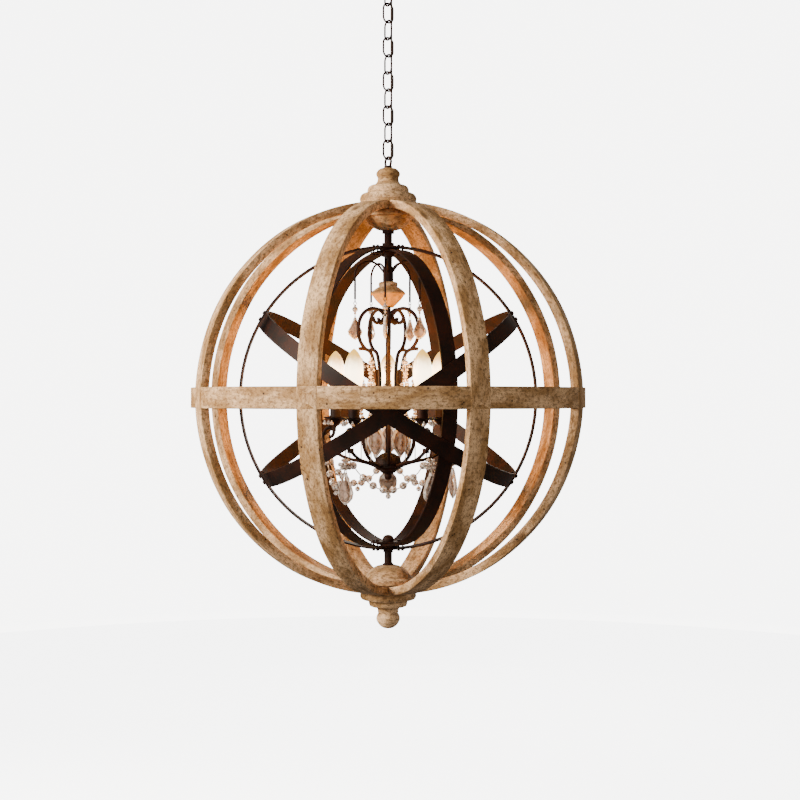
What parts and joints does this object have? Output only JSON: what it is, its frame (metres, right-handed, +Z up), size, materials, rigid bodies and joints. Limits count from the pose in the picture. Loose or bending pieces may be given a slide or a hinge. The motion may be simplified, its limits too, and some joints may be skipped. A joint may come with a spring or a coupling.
{
  "type": "orb chandelier",
  "caption": "Hanging chandelier: a wooden rib orb around crossed flat iron rings and a cluster of candle lamps on scrolled arms with crystal drops and bead garlands, on a chain and canopy.",
  "frame": {"origin": "centre of the ceiling crossbar's upper face, midway between its two screw holes, in the ceiling plane", "axes": "+Z up into the ceiling, +X to the viewer's right along the crossbar, -Y towards the front"},
  "size_m": [0.71, 0.71, 1.2168],
  "materials": {
    "weathered_wood": "matte",
    "rust_iron": "satin",
    "crystal": "gloss",
    "bulb_glass": "gloss",
    "cord_sheath": "matte",
    "crystal_wire": "satin",
    "plated_steel": "satin",
    "socket_plastic": "matte"
  },
  "bodies": {
    "ceiling": {"ceiling_crossbar": "plated_steel", "canopy_loop": "rust_iron"},
    "canopy": {"canopy": "rust_iron", "canopy_collar": "rust_iron"},
    "top_link": {"chain_top_link": "rust_iron"},
    "chain": {"chain_links": "rust_iron", "supply_cord": "cord_sheath"},
    "orb": {"band_half_left": "weathered_wood", "band_half_right": "weathered_wood", "bottom_finial": "weathered_wood", "bottom_inner_disc": "weathered_wood", "bottom_stem": "rust_iron", "cage_bars": "rust_iron", "candle_arms": "rust_iron", "candle_pans": "rust_iron", "candle_sleeves": "rust_iron", "centre_rod": "rust_iron", "crystal_hooks": "rust_iron", "crystal_wires": "crystal_wire", "dome_nut": "rust_iron", "garland_beads": "crystal", "hang_eye": "rust_iron", "lamp_sockets": "socket_plastic", "leaf_crystals": "crystal", "lower_hub": "rust_iron", "pan_drops": "crystal", "rib_pair_1": "weathered_wood", "rib_pair_2": "weathered_wood", "rib_pair_3": "weathered_wood", "rib_pair_4": "weathered_wood", "ring_bolts": "rust_iron", "ring_clamp_strips": "rust_iron", "ring_front": "rust_iron", "ring_tilted_inner": "rust_iron", "ring_tilted_outer": "rust_iron", "ring_upright_left": "rust_iron", "ring_upright_right": "rust_iron", "stem_sleeve": "rust_iron", "stem_tube": "rust_iron", "top_finial": "weathered_wood", "top_inner_disc": "weathered_wood", "tube_nuts": "rust_iron", "wooden_vase": "weathered_wood"},
    "bulb_1": {"bulb_1": "bulb_glass"},
    "kite_drop_1": {"kite_drop_1": "crystal"},
    "teardrop_1": {"teardrop_1": "crystal"},
    "bulb_2": {"bulb_2": "bulb_glass"},
    "kite_drop_2": {"kite_drop_2": "crystal"},
    "teardrop_2": {"teardrop_2": "crystal"},
    "bulb_3": {"bulb_3": "bulb_glass"},
    "kite_drop_3": {"kite_drop_3": "crystal"},
    "teardrop_3": {"teardrop_3": "crystal"},
    "bulb_4": {"bulb_4": "bulb_glass"},
    "kite_drop_4": {"kite_drop_4": "crystal"},
    "teardrop_4": {"teardrop_4": "crystal"},
    "bulb_5": {"bulb_5": "bulb_glass"},
    "kite_drop_5": {"kite_drop_5": "crystal"},
    "teardrop_5": {"teardrop_5": "crystal"},
    "disc_drop": {"disc_drop": "crystal"}
  },
  "joints": [
    {"name": "canopy_drop", "type": "slide", "parent": "ceiling", "child": "canopy", "axis": [0, 0, -1], "range_m": [0, 0.024]},
    {"name": "top_link_swing", "type": "hinge", "parent": "ceiling", "child": "top_link", "pos_m": [0, 0, -0.0531], "axis": [0.8387, 0.5446, 0], "range_deg": [-15, 15], "deforming": ["supply_cord"]},
    {"name": "chain_swing", "type": "hinge", "parent": "top_link", "child": "chain", "pos_m": [0, 0, -0.08385], "axis": [-0.5446, 0.8387, 0], "range_deg": [-15, 15], "deforming": ["supply_cord"]},
    {"name": "orb_swing", "type": "hinge", "parent": "chain", "child": "orb", "pos_m": [0, 0, -0.36375], "axis": [0.8387, 0.5446, 0], "range_deg": [-12, 12], "deforming": ["supply_cord"]},
    {"name": "kite_drop_1_swing", "type": "hinge", "parent": "orb", "child": "kite_drop_1", "pos_m": [-0.00696, -0.0611, -0.6254], "axis": [0.9936, -0.1132, 0], "range_deg": [-15, 15]},
    {"name": "kite_drop_2_swing", "type": "hinge", "parent": "orb", "child": "kite_drop_2", "pos_m": [0.05596, -0.0255, -0.6254], "axis": [0.4147, 0.91, 0], "range_deg": [-15, 15]},
    {"name": "kite_drop_3_swing", "type": "hinge", "parent": "orb", "child": "kite_drop_3", "pos_m": [0.04155, 0.04534, -0.6254], "axis": [-0.7373, 0.6756, 0], "range_deg": [-15, 15]},
    {"name": "kite_drop_4_swing", "type": "hinge", "parent": "orb", "child": "kite_drop_4", "pos_m": [-0.03028, 0.05353, -0.6254], "axis": [-0.8704, -0.4924, 0], "range_deg": [-15, 15]},
    {"name": "kite_drop_5_swing", "type": "hinge", "parent": "orb", "child": "kite_drop_5", "pos_m": [-0.06026, -0.01226, -0.6254], "axis": [0.1994, -0.9799, 0], "range_deg": [-15, 15]},
    {"name": "teardrop_1_swing", "type": "hinge", "parent": "orb", "child": "teardrop_1", "pos_m": [0.07137, -0.10384, -0.9043], "axis": [0.8241, 0.5664, 0], "range_deg": [-15, 4]},
    {"name": "teardrop_2_swing", "type": "hinge", "parent": "orb", "child": "teardrop_2", "pos_m": [0.12081, 0.03579, -0.9043], "axis": [-0.284, 0.9588, 0], "range_deg": [-15, 4]},
    {"name": "teardrop_3_swing", "type": "hinge", "parent": "orb", "child": "teardrop_3", "pos_m": [0.0033, 0.12596, -0.9043], "axis": [-0.9997, 0.0262, 0], "range_deg": [-15, 4]},
    {"name": "teardrop_4_swing", "type": "hinge", "parent": "orb", "child": "teardrop_4", "pos_m": [-0.11877, 0.04206, -0.9043], "axis": [-0.3338, -0.9426, 0], "range_deg": [-15, 4]},
    {"name": "teardrop_5_swing", "type": "hinge", "parent": "orb", "child": "teardrop_5", "pos_m": [-0.0767, -0.09996, -0.9043], "axis": [0.7934, -0.6088, 0], "range_deg": [-15, 4]},
    {"name": "disc_drop_swing", "type": "hinge", "parent": "orb", "child": "disc_drop", "pos_m": [0, 0.0205, -0.9311], "axis": [1, 0, 0], "range_deg": [-4, 15]},
    {"name": "bulb_1_lift", "type": "slide", "parent": "orb", "child": "bulb_1", "axis": [0, 0, 1], "range_m": [0, 0.03]},
    {"name": "bulb_2_lift", "type": "slide", "parent": "orb", "child": "bulb_2", "axis": [0, 0, 1], "range_m": [0, 0.03]},
    {"name": "bulb_3_lift", "type": "slide", "parent": "orb", "child": "bulb_3", "axis": [0, 0, 1], "range_m": [0, 0.03]},
    {"name": "bulb_4_lift", "type": "slide", "parent": "orb", "child": "bulb_4", "axis": [0, 0, 1], "range_m": [0, 0.03]},
    {"name": "bulb_5_lift", "type": "slide", "parent": "orb", "child": "bulb_5", "axis": [0, 0, 1], "range_m": [0, 0.03]}
  ]
}
